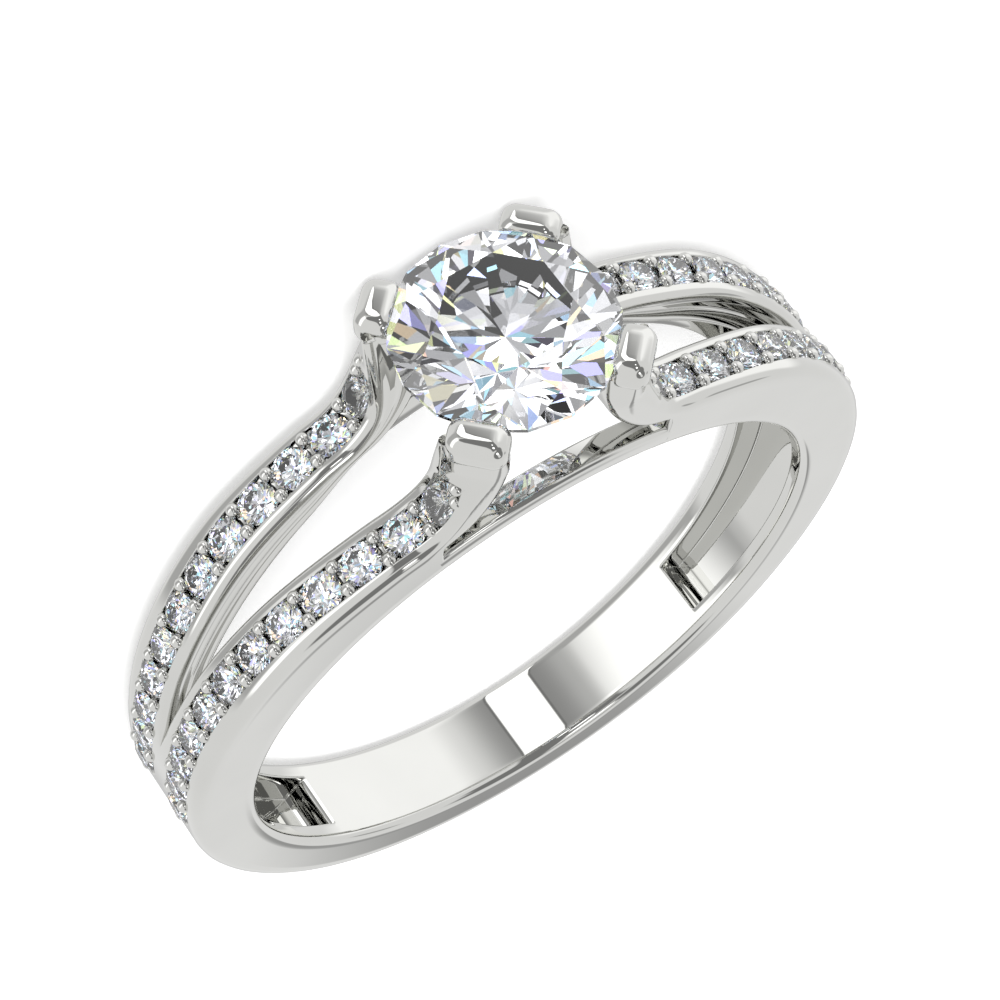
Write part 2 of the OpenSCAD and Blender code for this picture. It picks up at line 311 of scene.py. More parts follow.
@dataclass
class RowPath:
    """Outer edge that the pave rows follow, with s counted down from the prong in millimetres.

    It runs from past the foot up to the prong's top. The hoop's edge, the sweep's arc and the
    prong's straight side are joined, resampled at equal steps and smoothed with a bell-shaped
    window, so that they flow into one another. The length s is nought where the sweep has turned
    by zero_a.
    """

    step: float = 0.02
    bell_w: float = 0.24
    bell_reach: float = 0.75
    start_a: float = -99.0
    arc_a: float = 8.0
    zero_a: float = 77.0
    straight_gap: float = 0.05
    straight_top: float = 15.0
    cut_z: float = 14.0
    prong_z: float = 10.0
    points: Array = field(init=False)
    s: Array = field(init=False)
    normal: Array = field(init=False)

    def __post_init__(self) -> None:
        """Works out the points, their lengths s and their outward normals."""
        self.points = self.edge()
        along = np.gradient(self.points, axis=0)
        pace = np.linalg.norm(along, axis=1)
        self.s = -np.cumsum(pace)
        self.s -= self.s_near(SIZES.sweep_point(self.zero_a))
        along /= pace[:, None]
        self.normal = np.c_[along[:, 1], -along[:, 0]]

    def edge(self) -> Array:
        """Joins, resamples and smooths the edge.

        Returns:
            (n, 2) points in x and z.
        """
        z = SIZES
        t = np.linspace(self.start_a, z.neck_a, 1600)
        hoop = (z.bore_r + z.wall(t))[:, None] * polar(t)
        arc = z.sweep_point(np.linspace(self.arc_a, 90, 200))
        up = np.linspace(z.sweep_c[1] + self.straight_gap, self.straight_top, 40)
        raw = np.vstack([hoop, arc, np.c_[np.full(len(up), z.sweep_c[0] - z.sweep_r), up]])
        run = lengths(raw)
        even = points_at(np.arange(0, run[-1], self.step), run, raw)
        reach = int(self.bell_reach / self.step)
        bell = np.exp(-0.5 * (np.arange(-reach, reach + 1) * self.step / self.bell_w) ** 2)
        padded = np.vstack([even[:1].repeat(reach, 0), even, even[-1:].repeat(reach, 0)])
        soft = np.stack([np.convolve(column, bell / bell.sum(), "valid") for column in padded.T], -1)
        return soft[(soft[:, 1] < self.cut_z) & (np.arange(len(soft)) > reach)]

    def at(self, s: Array) -> tuple[Array, Array]:
        """Points and outward normals at lengths s.

        Args:
            s: Lengths below the prong in millimetres.

        Returns:
            (n, 2) points and (n, 2) unit normals, in x and z.
        """
        p = points_at(s, self.s[::-1], self.points[::-1])
        n = points_at(s, self.s[::-1], self.normal[::-1])
        return p, n / np.linalg.norm(n, axis=-1, keepdims=True)

    def s_near(self, point: Array) -> float:
        """Length of the edge's point that lies nearest to a point in x and z."""
        return float(self.s[int(np.argmin(np.linalg.norm(self.points - point, axis=1)))])

    def s_at_angle(self, degrees: float) -> float:
        """Length at which the edge passes an angle round the bore."""
        return float(np.interp(degrees, angle_of(self.points), self.s))

    def s_at_height(self, z: float) -> float:
        """Length at which the prong's side reaches a height."""
        high = self.points[:, 1] > self.prong_z
        return float(np.interp(z, self.points[high, 1], self.s[high]))


ROWS = RowPath()
STONE_S = SIZES.pave_start + SIZES.pave_pitch * np.arange(SIZES.pave_n)
# Lengths that the channel goes on past its last stone's edge and its first stone's middle
END_ROOM = 0.16
TOP_ROOM = 1.05
ROW_END = float(STONE_S[-1]) + SIZES.pave_r + END_ROOM
ROW_TOP = float(STONE_S[0]) - TOP_ROOM
FIRST_LEAN = math.radians(22.0)
FIRST_SUNK = 0.08


def seat_axes() -> tuple[Array, Array]:
    """Middles of the pave stones' girdles and their axes.

    The first stone lies deeper and leans back from the sweep's normal, because its seat is cut on
    from the branch into the prong's foot.

    Returns:
        (n, 2) middles and (n, 2) unit axes, in x and z.
    """
    p, n = ROWS.at(STONE_S)
    c, s = math.cos(FIRST_LEAN), math.sin(FIRST_LEAN)
    n[0] = n[0, 0] * c - n[0, 1] * s, n[0, 0] * s + n[0, 1] * c
    sunk = np.full(len(STONE_S), SIZES.pave_sink)
    sunk[0] += FIRST_SUNK
    return p - n * sunk[:, None], n


def mesh_object(name: str, points: Array, faces: Sequence[Sequence[int]], smoothed: bool) -> bpy.types.Object:
    """Puts worked-out points and faces into a mesh object at the origin.

    Args:
        name: Name of the piece.
        points: (n, 3) millimetres in the upright frame.
        faces: Vertex numbers of each face, turning left as seen from outside.
        smoothed: Whether the faces are shaded smooth.

    Returns:
        The new object, linked to the scene.
    """
    mesh = bpy.data.meshes.new(name)
    mesh.from_pydata(laid(points).tolist(), [], faces)
    mesh.polygons.foreach_set("use_smooth", np.full(len(mesh.polygons), smoothed, bool))
    mesh.update()
    piece = bpy.data.objects.new(name, mesh)
    bpy.context.scene.collection.objects.link(piece)
    return piece


def weld(points: Array, quads: Array, step: float = 2e-4) -> tuple[Array, list[list[int]]]:
    """Merges points that share a place, and drops repeated corners and empty faces.

    Args:
        points: (n, 3) millimetres.
        quads: (m, 4) vertex numbers.
        step: Size of the cells in which points are taken as one.

    Returns:
        The merged points and the faces that are left.
    """
    keys = np.round(points / step).astype(np.int64)
    _, first, back = np.unique(keys, axis=0, return_index=True, return_inverse=True)
    q = back.reshape(-1)[quads]
    same = q == np.roll(q, -1, axis=1)
    whole = q[same.sum(1) == 0].tolist()
    three = same.sum(1) == 1
    return points[first], whole + q[three][~same[three]].reshape(-1, 3).tolist()


def mirrored(points: Array, quads: Array) -> tuple[Array, Array]:
    """Repeats a quarter of the ring in all four quarters, with the faces' turn kept outward.

    Args:
        points: (n, 3) millimetres in the first quarter.
        quads: (m, 4) vertex numbers.

    Returns:
        Points and quads of the whole ring.
    """
    signs = [(sx, sy) for sx in (1, -1) for sy in (1, -1)]
    turned = [(quads if sx * sy > 0 else quads[:, ::-1]) + k * len(points)
              for k, (sx, sy) in enumerate(signs)]
    return np.vstack([points * [sx, sy, 1] for sx, sy in signs]), np.vstack(turned)


def tube_faces(n_stations: int, n_loop: int) -> Array:
    """Quads of a closed loop carried along stations.

    Args:
        n_stations: Number of loops.
        n_loop: Corners of a loop.

    Returns:
        (m, 4) vertex numbers, turning outward for a loop that runs with the sun.
    """
    i, j = np.meshgrid(np.arange(n_stations - 1), np.arange(n_loop), indexing="ij")
    a, b = i * n_loop + j, i * n_loop + (j + 1) % n_loop
    return np.stack([a, a + n_loop, b + n_loop, b], -1).reshape(-1, 4)


def close_end(points: Array, quads: Array, n_loop: int, turned: bool) -> tuple[Array, Array]:
    """Closes a tube's last loop with a fan of faces about its middle.

    Args:
        points: (n, 3) points of the tube.
        quads: (m, 4) vertex numbers.
        n_loop: Corners of a loop.
        turned: Whether the tube's faces were turned round.

    Returns:
        Points with the middle added, and quads with the fan added.
    """
    ring = len(points) - n_loop + np.arange(n_loop)
    middle = np.full(n_loop, len(points))
    fan = np.stack([ring, np.roll(ring, -1), middle, middle], -1)
    return np.vstack([points, points[ring].mean(0)]), np.vstack([quads, fan[:, ::-1] if turned else fan])


def clear_of_stone(p: Array, gap: float = 0.02, core: float = 1.2) -> Array:
    """Moves metal straight out from the stone's axis until it is clear of the centre stone.

    Args:
        p: (n, 3) millimetres.
        gap: Room left round the stone.
        core: Distance from the axis within which nothing is moved.

    Returns:
        The moved points.
    """
    s = SIZES
    ta, tc = math.tan(math.radians(s.pavilion_a)), math.tan(math.radians(s.crown_a))
    below = (p[:, 2] - s.girdle_z + s.stone_r * ta) / ta
    above = s.stone_r - (p[:, 2] - s.crown_z) / tc
    room = np.minimum(np.minimum(below, above), s.stone_r) + gap
    rho = np.hypot(p[:, 0], p[:, 1])
    inside = (rho < room) & (rho > core) & (room > 0)
    out = p.copy()
    out[inside, :2] *= (room[inside] / rho[inside])[:, None]
    return out


# Metal


@dataclass(frozen=True)
class ProngTrim:
    """Draws the prongs' corners in under their heads, softly, as rounded corners.

    The outer corner keeps within a taper about the stone's axis. The corner beside the side face
    keeps within the head's length, measured across the diagonal, and flares out below it.
    """

    waist_z: float = 11.6
    inset: float = 0.02
    blend: float = 0.12
    fade: float = 0.3
    side_z: float = 10.4
    side_half: float = 0.68
    flare: float = 0.9
    flare_z: float = 12.0
    flare_h: float = 1.6

    def apply(self, p: Array) -> Array:
        """Moves the corners in.

        Args:
            p: (n, 3) millimetres in the first quarter.

        Returns:
            The moved points.
        """
        s = SIZES
        foot = s.sweep_c[1] - s.sweep_r / 2
        low = np.clip((self.waist_z - p[:, 2]) / (self.waist_z - foot), 0, 1)
        rho = np.hypot(p[:, 0], p[:, 1])
        kept = np.minimum(soft_min(s.taper_r + s.taper_flare * low - self.inset, rho, self.blend), rho)
        use = p[:, 2] > foot
        share = np.clip((p[use, 2] - foot) / self.fade, 0, 1)
        out = p.copy()
        out[use, :2] *= (1 + share * (kept[use] / rho[use] - 1))[:, None]
        across = (out[:, 1] - out[:, 0]) * math.sqrt(0.5)
        room = self.side_half + self.flare * np.clip((self.flare_z - out[:, 2]) / self.flare_h, 0, 1) ** 2
        over = np.maximum(across - soft_min(room, across, self.blend), 0) * math.sqrt(0.5)
        over = np.where(out[:, 2] > self.side_z, over, 0)
        return out + np.c_[over, -over, np.zeros(len(out))]


@dataclass
class Loop:
    """Corners of a closed loop, each one given at every station."""

    xz: list[Array] = field(default_factory=list)
    y: list[Array] = field(default_factory=list)

    def add(self, point: Array, y: Array) -> None:
        """Adds one corner, with (n, 2) places in x and z and (n,) values of y."""
        self.xz.append(point)
        self.y.append(y)

    def between(self, one: tuple[Array, Array], two: tuple[Array, Array], shares: Sequence[float]) -> None:
        """Adds corners at shares of the way from one place to another, each with its y."""
        for u in shares:
            self.add(one[0] + (two[0] - one[0]) * u, one[1] + (two[1] - one[1]) * u)

    def points(self) -> Array:
        """Points (stations, corners, 3) in millimetres."""
        return np.stack([np.stack([p[:, 0], y, p[:, 1]], -1) for p, y in zip(self.xz, self.y)], 1)


@dataclass(frozen=True)
class BranchLines:
    """Guide lines of a branch at every station: (n, 2) in x and z, or (n,) across the ring.

    The outer line runs along the row, the inner one along the bore and up the prong, and the
    floor line along the recess's floor. The opening grows from nought to one above the fork.
    """

    s: Array
    outer: Array
    out_way: Array
    inner: Array
    in_way: Array
    floor: Array
    recess_share: Array
    row: Array
    half: Array
    gap: Array
    opening: Array
    edge_r: Array
    bore_edge_r: Array


@dataclass(frozen=True)
class Branch:
    """One quarter of the hoop with its branch and prong: a closed loop carried along the row path.

    The loop runs over the outer face with its channel, down the side, along the rim, round the
    recess and up the gap's wall.
    """

    # Radii of the rounded edges, the first two with what they gain up the prong: how much, from
    # which height and within which height
    edge_r: float = 0.30
    edge_gain: tuple[float, float, float] = (0.06, 11.2, 1.0)
    bore_edge_r: float = 0.23
    bore_edge_gain: tuple[float, float, float] = (0.22, 10.4, 1.2)
    recess_edge_r: float = 0.05
    gap_edge_r: float = 0.20
    lip_r: float = 0.05
    # Gap's wall: its lean, the half gap at which it is whole, and depth, place and width of its grooves
    gap_lean: float = 0.07
    gap_whole: float = 0.08
    grooves: tuple[tuple[float, float, float], ...] = ((0.055, 0.40, 0.11), (0.03, 0.78, 0.08))
    # Recess's floor: how it starts at the foot and rises where it runs out at the bar
    recess_start: float = 0.25
    run_out_rise: float = 0.25
    run_out_a: float = 58.0
    run_out_turn: float = 12.5
    # Channel: bare land beside it, room round a stone, deepest first seat, length and bluntness of
    # its upper end, and the shares of its half width that its walls and its seats take
    land: float = 0.012
    seat_room: float = 0.02
    first_most: float = 0.30
    top_end: float = 0.25
    blunt: float = 0.5
    wall_share: float = 0.05
    seat_share: float = 0.97
    # Heights of the prong's outer and inner ends, and the bore's angles at the bar
    top_z: float = 12.75
    inner_top_z: float = 13.6
    bore_a: float = 62.0
    root_a: float = 69.5
    # Where the outer line meets the inner one's places: height of the prong's top and the inner
    # length to it, height of the window's end over the sweep's centre, and turns of the sweep at
    # the window's corner and at the bar's root
    match_top: tuple[float, float] = (13.3, 1.35)
    match_cut: float = 1.1
    match_corner: float = 33.0
    match_root: float = 20.0
    # Stations: offsets at the recess's lip, numbers, step along the row, and room past its ends
    lip_steps: tuple[float, ...] = (0.06, 0.03, 0.012, 0.0, -0.02, -0.05, -0.12)
    plain_n: int = 26
    stem_n: int = 12
    row_step: float = 0.085
    row_room: float = 0.1

    def stations(self) -> Array:
        """Lengths s of the loops, from the foot up: coarse on the plain band, fine along the stones.

        Returns:
            (n,) lengths.
        """
        lip = ROWS.s_at_angle(SIZES.recess_a) + np.array(self.lip_steps)
        plain = np.linspace(ROWS.s_at_angle(-90.0), lip[0], self.plain_n)
        waist = np.linspace(lip[-1], ROW_END + self.row_room, self.plain_n)
        row = np.arange(ROW_END, ROW_TOP - self.row_room, -self.row_step)
        stem = np.linspace(ROW_TOP - 1.5 * self.row_room, ROWS.s_at_height(self.top_z), self.stem_n)
        return np.r_[plain, lip[1:-1], waist, row, stem]

    def inner_line(self, s: Array, outer: Array) -> Array:
        """Inner end of each loop: the bore as far as the bar, then the window's edge up the prong.

        The window's corners are matched with chosen places of the outer line, and what lies
        between them is shared out by length.

        Args:
            s: Station lengths.
            outer: Outer points of the stations, in x and z.

        Returns:
            (n, 2) points in x and z.
        """
        z = SIZES
        bore = z.bore_r * polar(np.linspace(self.bore_a, self.root_a, 30))
        x0 = z.prong_in + z.undercut_foot
        corner = np.array([[x0, math.sqrt(z.bar_r ** 2 - x0 ** 2)]])
        c = np.array([z.prong_in + z.undercut_r, z.sweep_c[1] + z.undercut_rise])
        low = math.degrees(math.acos((c[0] - x0) / z.undercut_r))
        cut = c - z.undercut_r * polar(np.linspace(low, 0, 60))
        edge = np.vstack([bore, corner, cut, [[z.prong_in, self.inner_top_z]]])
        run = lengths(edge)
        root, window, cut_end = run[len(bore) - 1], run[len(bore)], run[len(bore) + len(cut)]
        matches = np.array((
            (ROWS.s_at_height(self.match_top[0]), cut_end + self.match_top[1]),
            (ROWS.s_at_height(z.sweep_c[1] + self.match_cut), cut_end),
            (ROWS.s_near(z.sweep_point(self.match_corner)), window),
            (ROWS.s_near(z.sweep_point(self.match_root)), root),
            (ROWS.s_at_angle(self.bore_a), 0.0),
        ))
        along = points_at(np.interp(s, matches[:, 0], matches[:, 1]), run, edge)
        hoop = z.bore_r * polar(angle_of(outer))
        return np.where((s > matches[-1, 0])[:, None], hoop, along)

    def bed_depth(self, s: Array, v: Array) -> Array:
        """Depth of the channel's bed below its rims.

        A flat floor with steep walls, and under each stone a cone that keeps clear of its keel.
        The bed sinks towards the first stone, which lies deeper.

        Args:
            s: (n,) station lengths.
            v: (m,) places across, from -1 to 1.

        Returns:
            (n, m) depths in millimetres.
        """
        z = SIZES
        ss, vv = np.meshgrid(s, v, indexing="ij")
        extra = np.clip(FIRST_SUNK + math.tan(FIRST_LEAN) * (STONE_S[0] - ss), 0, self.first_most)
        floor = (z.channel_depth + extra) * np.clip((1 - np.abs(vv)) / self.wall_share, 0, 1)
        rho = np.hypot(np.abs(ss[..., None] - STONE_S).min(-1), vv * z.channel_w / 2)
        wall_r = z.pave_r + self.seat_room
        cone = (wall_r - rho) * math.tan(math.radians(z.pavilion_a)) + z.pave_sink + self.seat_room + extra
        cone = np.where((rho < wall_r) & (np.abs(vv) < self.seat_share), cone, 0)
        return np.where((ss < ROW_END) & (ss > ROW_TOP), np.maximum(floor, cone), 0)

    def channel_half(self, s: Array) -> Array:
        """Half width of the channel: a half round below, and a blunter end with round corners above.

        Args:
            s: (n,) station lengths.

        Returns:
            (n,) half widths in millimetres.
        """
        r = SIZES.channel_w / 2
        low = np.clip((ROW_END - s) / r, 0, 1)
        high = np.clip((s - ROW_TOP) / self.top_end, 0, 1)
        blunt = self.blunt + (1 - self.blunt) * np.sqrt(1 - (1 - high) ** 2)
        end = np.minimum(np.sqrt(1 - (1 - low) ** 2), blunt)
        return r * np.where((s > ROW_TOP) & (s < ROW_END), end, 0)

    def lines(self) -> BranchLines:
        """Works out the guide lines at every station.

        Returns:
            The lines, with the first station exactly in the ring's middle plane.
        """
        z = SIZES
        s = self.stations()
        outer, out_way = ROWS.at(s)
        outer[0, 0] = 0.0
        inner = self.inner_line(s, outer)
        inner[0, 0] = 0.0
        in_way = outer - inner
        in_way /= np.linalg.norm(in_way, axis=1)[:, None]
        out_way[0] = in_way[0] = 0.0, -1.0
        t = angle_of(inner)
        recess_r = z.recess_r + self.run_out_rise * smooth((t - self.run_out_a) / self.run_out_turn)
        recess = inner * np.maximum(1, recess_r / np.linalg.norm(inner, axis=1))[:, None]
        share = np.clip((t - z.recess_a) / self.recess_start, 0, 1)[:, None]
        up = outer[:, 1]
        gap = z.gap_y(up)

        def gained(gain: tuple[float, float, float]) -> Array:
            """What an edge's radius gains up the prong."""
            return gain[0] * np.clip((up - gain[1]) / gain[2], 0, 1)

        return BranchLines(
            s=s, outer=outer, out_way=out_way, inner=inner, in_way=in_way,
            floor=inner + (recess - inner) * share, recess_share=share,
            row=z.row_y(np.maximum(up, 1.0)), half=self.channel_half(s),
            gap=gap, opening=np.clip(gap / self.gap_whole, 0, 1),
            edge_r=self.edge_r + gained(self.edge_gain),
            bore_edge_r=self.bore_edge_r + gained(self.bore_edge_gain))

    def outer_face(self, loop: Loop, at: BranchLines) -> None:
        """Adds a strip beside the gap, the channel with the stones' seats, a strip and the outer edge.

        Args:
            loop: Loop to add to.
            at: Guide lines.
        """
        first = at.gap + (self.gap_edge_r - self.gap_lean) * at.opening
        loop.between((at.outer, first), (at.outer, at.row - at.half - self.land), (0.0, 0.5, 1.0))
        v = np.r_[-1.0, -0.975, -0.95, np.linspace(-0.9, 0.9, 17), 0.95, 0.975, 1.0]
        depth = self.bed_depth(at.s, v)
        for k, place in enumerate(v):
            loop.add(at.outer - at.out_way * depth[:, k:k + 1], at.row + place * at.half)
        first = at.row + at.half + self.land
        last = np.maximum(SIZES.side_y(at.outer[:, 1]) - at.edge_r, first)
        loop.between((at.outer, first), (at.outer, last), (0.0, 0.5, 1.0))
        for q in np.radians(QUARTER):
            p = at.outer - at.out_way * (at.edge_r * (1 - math.cos(q)))[:, None]
            loop.add(p, SIZES.side_y(p[:, 1]) - at.edge_r * (1 - math.sin(q)))

    def side_face(self, loop: Loop, at: BranchLines) -> None:
        """Adds the flat side and the rounded edge at the bore.

        Args:
            loop: Loop to add to.
            at: Guide lines.
        """
        low = at.inner + at.in_way * at.bore_edge_r[:, None]
        high = at.outer - at.out_way * at.edge_r[:, None]
        for u in np.linspace(0.14, 1, 7):
            p = high + (low - high) * u
            loop.add(p, SIZES.side_y(p[:, 1]))
        for q in np.radians(QUARTER):
            p = at.inner + at.in_way * (at.bore_edge_r * (1 - math.sin(q)))[:, None]
            loop.add(p, SIZES.side_y(p[:, 1]) - at.bore_edge_r * (1 - math.cos(q)))

    def inside(self, loop: Loop, at: BranchLines) -> None:
        """Adds the rim, and the recess's rounded edge, wall and floor.

        Args:
            loop: Loop to add to.
            at: Guide lines.
        """
        z, r = SIZES, self.recess_edge_r
        low_y = z.gap_y(at.floor[:, 1]) + self.gap_lean * at.opening
        wall_y = np.maximum(z.recess_y(at.inner[:, 1]), low_y + 2 * r)
        first = z.side_y(at.inner[:, 1]) - at.bore_edge_r
        loop.between((at.inner, first), (at.inner, wall_y + r), (0.34, 0.67, 1.0))
        for q in np.radians((45, 90)):
            bent = at.in_way * r * (1 - math.cos(q)) * at.recess_share
            loop.add(at.inner + bent, wall_y + r * (1 - math.sin(q)))
        edge = at.inner + at.in_way * r * at.recess_share
        loop.between((edge, wall_y), (at.floor, wall_y), (0.3, 0.62, 0.9, 1.0))
        last = low_y + self.lip_r * at.opening
        loop.between((at.floor, wall_y), (at.floor, last), (0.06, 0.25, 0.5, 0.75, 1.0))

    def gap_wall(self, loop: Loop, at: BranchLines) -> None:
        """Adds the gap's wall, with shallow grooves that leave rails between them, and its outer edge.

        Args:
            loop: Loop to add to.
            at: Guide lines.
        """
        r = self.gap_edge_r * at.opening
        top = at.outer - at.out_way * r[:, None]
        bottom = at.floor + at.in_way * (self.lip_r * at.opening)[:, None]
        for u in (0.0, 0.1, 0.2, 0.3, 0.38, 0.46, 0.55, 0.64, 0.74, 0.84, 0.93, 1.0):
            p = bottom + (top - bottom) * u
            dent = sum(deep * math.exp(-((u - place) / wide) ** 2) for deep, place, wide in self.grooves)
            loop.add(p, SIZES.gap_y(p[:, 1]) + (dent + self.gap_lean * (1 - 2 * u)) * at.opening)
        for q in np.radians(QUARTER[:3]):
            p = at.outer - at.out_way * (r * (1 - math.sin(q)))[:, None]
            loop.add(p, at.gap - self.gap_lean * at.opening + r * (1 - math.cos(q)))

    def build(self) -> tuple[Array, Array]:
        """Carries the loop along the stations and leaves out the faces in the ring's middle plane.

        Returns:
            Points (n, 3) in millimetres and quads of one quarter of the ring.
        """
        at, loop = self.lines(), Loop()
        self.outer_face(loop, at)
        self.side_face(loop, at)
        self.inside(loop, at)
        self.gap_wall(loop, at)
        pts = loop.points()
        flat = pts.reshape(-1, 3)
        flat[:, 1] = np.where(np.abs(flat[:, 1]) < 1e-3, 0, np.maximum(flat[:, 1], 0))
        flat = clear_of_stone(ProngTrim().apply(flat))
        quads = tube_faces(*pts.shape[:2])[:, ::-1]
        in_middle = (flat[quads][:, :, 1] == 0).all(1)
        return close_end(flat, quads[~in_middle], pts.shape[1], True)


@dataclass(frozen=True)
class BridgeBar:
    """Quarter of a bridge bar under the stone: a rounded four-sided loop carried round the bore.

    From sink_a on it sinks into the branch, so that it ends inside the metal.
    """

    edge_r: float = 0.12
    inner_edge_r: float = 0.05
    proud: float = 0.002
    sink: float = 0.02
    sink_a: float = 70.0
    sink_turn: float = 5.0
    end_a: float = 64.5

    def build(self) -> tuple[Array, Array]:
        """Carries the loop from the ring's middle into the branch's root.

        Returns:
            Points (n, 3) in millimetres and quads.
        """
        z = SIZES
        t = np.r_[np.linspace(90, self.sink_a, 16), np.linspace(self.sink_a - 1, self.end_a, 8)]
        sunk = np.clip((self.sink_a - t) / self.sink_turn, 0, 1) * self.sink
        t = np.radians(t)
        r_in, r_out = z.bore_r + sunk, z.bar_r - sunk
        front_y = z.side_y(z.bore_r * np.sin(t))
        y_out = front_y + self.proud - sunk / 2
        y_in = z.recess_y(z.bore_r * np.sin(t)) + sunk
        e, b, i = self.edge_r, Branch.bore_edge_r, self.inner_edge_r
        corners = ((r_out - e, y_out - e, e, 0), (r_out - i, y_in + i, i, 90),
                   (r_in + i, y_in + i, i, 180), (r_in + b, y_out - b, b, 270))
        steps = [(r, y, size, math.radians(start + q))
                 for r, y, size, start in corners for q in (0, *QUARTER)]
        rad = np.stack([r + size * math.sin(q) for r, _, size, q in steps], 1)
        across = np.stack([y + size * math.cos(q) for _, y, size, q in steps], 1)
        up = rad * np.sin(t)[:, None]
        share = np.clip((across - y_in[:, None]) / (y_out - y_in)[:, None], 0, 1)
        across = across + (z.side_y(up) - front_y[:, None]) * share
        side = rad * np.cos(t)[:, None]
        side[0] = 0.0
        pts = np.stack([side, across, up], -1)
        return close_end(pts.reshape(-1, 3), tube_faces(*pts.shape[:2]), pts.shape[1], False)


@dataclass(frozen=True)
class ProngHead:
    """One head: a rounded block on the diagonal with a softly domed top, its long side along the stone."""

    cells: int = 14
    height: float = 0.98
    rounding: float = 0.36
    drop: float = 0.03
    dome: float = 0.03

    def build(self) -> tuple[Array, Array]:
        """Rounds a cube's grid: each point is the nearest point of the inner box plus a radius outward.

        Returns:
            Points (n, 3) in millimetres and quads of the head in the first quarter.
        """
        z, n = SIZES, self.cells
        g = np.tan(np.linspace(-1, 1, n + 1) * math.pi / 4)
        u, v = np.meshgrid(g, g, indexing="ij")
        one = np.ones_like(u)
        sides = [(one, u, v), (-one, v, u), (v, one, u), (u, -one, v), (u, v, one), (v, u, -one)]
        half = np.array([z.claw_w, z.claw_l, self.height]) / 2
        grid = np.concatenate([np.stack(c, -1).reshape(-1, 3) for c in sides]) * half
        box = np.clip(grid, self.rounding - half, half - self.rounding)
        far = np.linalg.norm(grid - box, axis=1)[:, None]
        out = np.where(far < 1e-9, grid, box + (grid - box) / np.maximum(far, 1e-9) * self.rounding)
        fall = self.dome * np.clip(np.hypot(out[:, 0] / half[0], out[:, 1] / half[1]), 0, 1) ** 2
        out[:, 2] -= np.where(out[:, 2] > 0, fall, 0)
        i, j = np.meshgrid(np.arange(n), np.arange(n), indexing="ij")
        a = (i * (n + 1) + j).reshape(-1)
        one_side = np.stack([a, a + n + 1, a + n + 2, a + 1], -1)
        quads = np.vstack([one_side + k * (n + 1) ** 2 for k in range(len(sides))])
        d = math.sqrt(0.5)
        x, y = z.claw_r + out[:, 0], out[:, 1]
        up = z.claw_top_z - self.drop - half[2] + out[:, 2]
        return clear_of_stone(np.stack([d * x - d * y, d * x + d * y, up], -1)), quads


@dataclass(frozen=True)
class EndGrain:
    """A grain at a row's end: length past the end stone, place across, radius and height."""

    past: float
    aside: float
    radius: float
    proud: float


@dataclass(frozen=True)
class Grains:
    """Small round grains between the pave stones, in pairs across the channel, and some at its ends."""

    turns: int = 14
    rings: int = 8
    radius: float = 0.195
    proud: float = 0.15
    spread: float = 0.01
    top: tuple[EndGrain, ...] = (EndGrain(-0.82, 0.12, 0.195, -0.02), EndGrain(-0.42, 0.29, 0.20, 0.01))
    foot: EndGrain = EndGrain(0.56, 0.0, 0.195, 0.11)

    def build(self) -> tuple[Array, Array]:
        """Repeats a sphere of latitude and longitude cells at every grain's place.

        Returns:
            Points (n, 3) in millimetres and quads for one quarter's row.
        """
        z = SIZES
        lat = np.linspace(-math.pi / 2, math.pi / 2, self.rings + 1)
        lon = np.arange(self.turns) * 2 * math.pi / self.turns
        la, lo = np.meshgrid(lat, lon, indexing="ij")
        ball = np.stack([np.cos(la) * np.cos(lo), np.cos(la) * np.sin(lo), np.sin(la)], -1).reshape(-1, 3)
        faces = tube_faces(self.rings + 1, self.turns)[:, ::-1]
        half = z.grain_gap / 2 + self.spread
        rows = [(s + z.pave_pitch / 2, aside, self.radius, self.proud)
                for aside in (-half, half) for s in STONE_S[:-1]]
        ends = [(STONE_S[0], grain) for grain in self.top] + [(STONE_S[-1], self.foot)]
        rows += [(s + grain.past, grain.aside, grain.radius, grain.proud) for s, grain in ends]
        s, aside, radius, proud = np.array(rows).T
        p, n = ROWS.at(s)
        c = p + n * (proud - radius)[:, None]
        y = z.row_y(p[:, 1]) + aside
        zero, one = np.zeros(len(s)), np.ones(len(s))
        fore = np.stack([n[:, 1], zero, -n[:, 0]], -1)
        turn = np.stack([fore, np.stack([zero, one, zero], -1), np.stack([n[:, 0], zero, n[:, 1]], -1)], 1)
        pts = radius[:, None, None] * (ball @ turn) + np.stack([c[:, 0], y, c[:, 1]], -1)[:, None]
        quads = faces + len(ball) * np.arange(len(s))[:, None, None]
        return pts.reshape(-1, 3), quads.reshape(-1, 4)


# Finishes


def linear(hex_colour: str) -> tuple[float, float, float, float]:
    """Turns an sRGB hex colour to linear values with full alpha.

    Args:
        hex_colour: Colour such as #D9D9D6.

    Returns:
        Red, green, blue and alpha.
    """
    v = np.array([int(hex_colour[i:i + 2], 16) for i in (1, 3, 5)]) / 255
    lin = np.where(v <= 0.04045, v / 12.92, ((v + 0.055) / 1.055) ** 2.4)
    return float(lin[0]), float(lin[1]), float(lin[2]), 1.0


WHITE = linear("#FFFFFF")


def fill(node: bpy.types.Node, settings: dict[str | int, object] | None = None,
         links: dict[str | int, Socket] | None = None) -> bpy.types.Node:
    """Sets a node's values and links its inputs.

    Args:
        node: Node to fill in.
        settings: Values by the name of a property, or the name or number of an input.
        links: Sockets that feed the inputs, by the input's name or number.

    Returns:
        The same node.
    """
    for key, value in (settings or {}).items():
        if isinstance(key, str) and hasattr(node, key):
            setattr(node, key, value)
        else:
            node.inputs[key].default_value = value
    for key, socket in (links or {}).items():
        node.id_data.links.new(socket, node.inputs[key])
    return node


